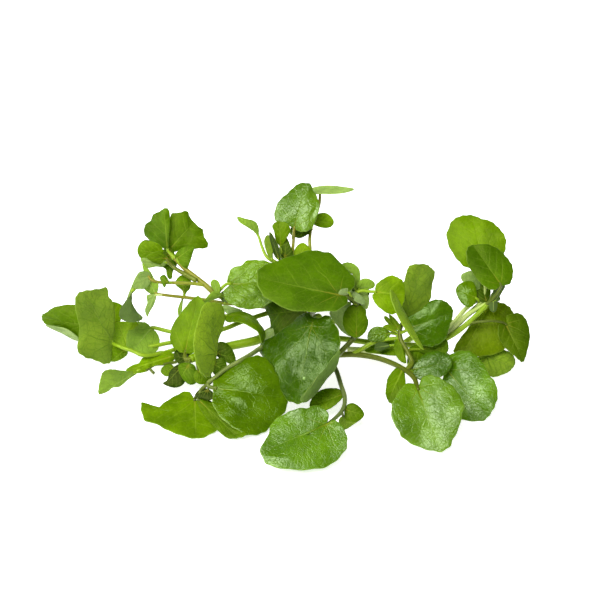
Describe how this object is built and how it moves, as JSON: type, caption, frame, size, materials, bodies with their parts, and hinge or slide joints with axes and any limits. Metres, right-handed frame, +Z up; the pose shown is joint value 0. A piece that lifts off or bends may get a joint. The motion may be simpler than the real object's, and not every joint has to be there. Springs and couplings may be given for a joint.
{
  "type": "bunch of cut watercress",
  "caption": "Loose lying bunch of cut watercress: leafy sprigs with round, glossy, gently waved leaves on slim curving stems.",
  "frame": {"origin": "on the surface that the bunch lies on, below the middle of its box", "axes": "+X along the length of the bunch, to the right in the picture; +Y away from the camera; +Z up"},
  "size_m": [0.1742, 0.1085, 0.0557],
  "materials": {
    "leaf": "fresh green leaf with a satin sheen",
    "stem": "smooth moist pale green stem"
  },
  "bodies": {
    "root": {"far_left_sprig": "leaf", "top_left_sprig": "leaf", "middle_left_sprig": "leaf", "front_left_sprig": "leaf", "front_middle_sprig": "leaf", "top_sprig": "leaf", "middle_sprig": "leaf", "front_right_sprig": "leaf", "upper_right_sprig": "leaf", "right_sprig": "leaf", "back_sprig": "leaf", "back_right_sprig": "leaf"}
  },
  "joints": []
}
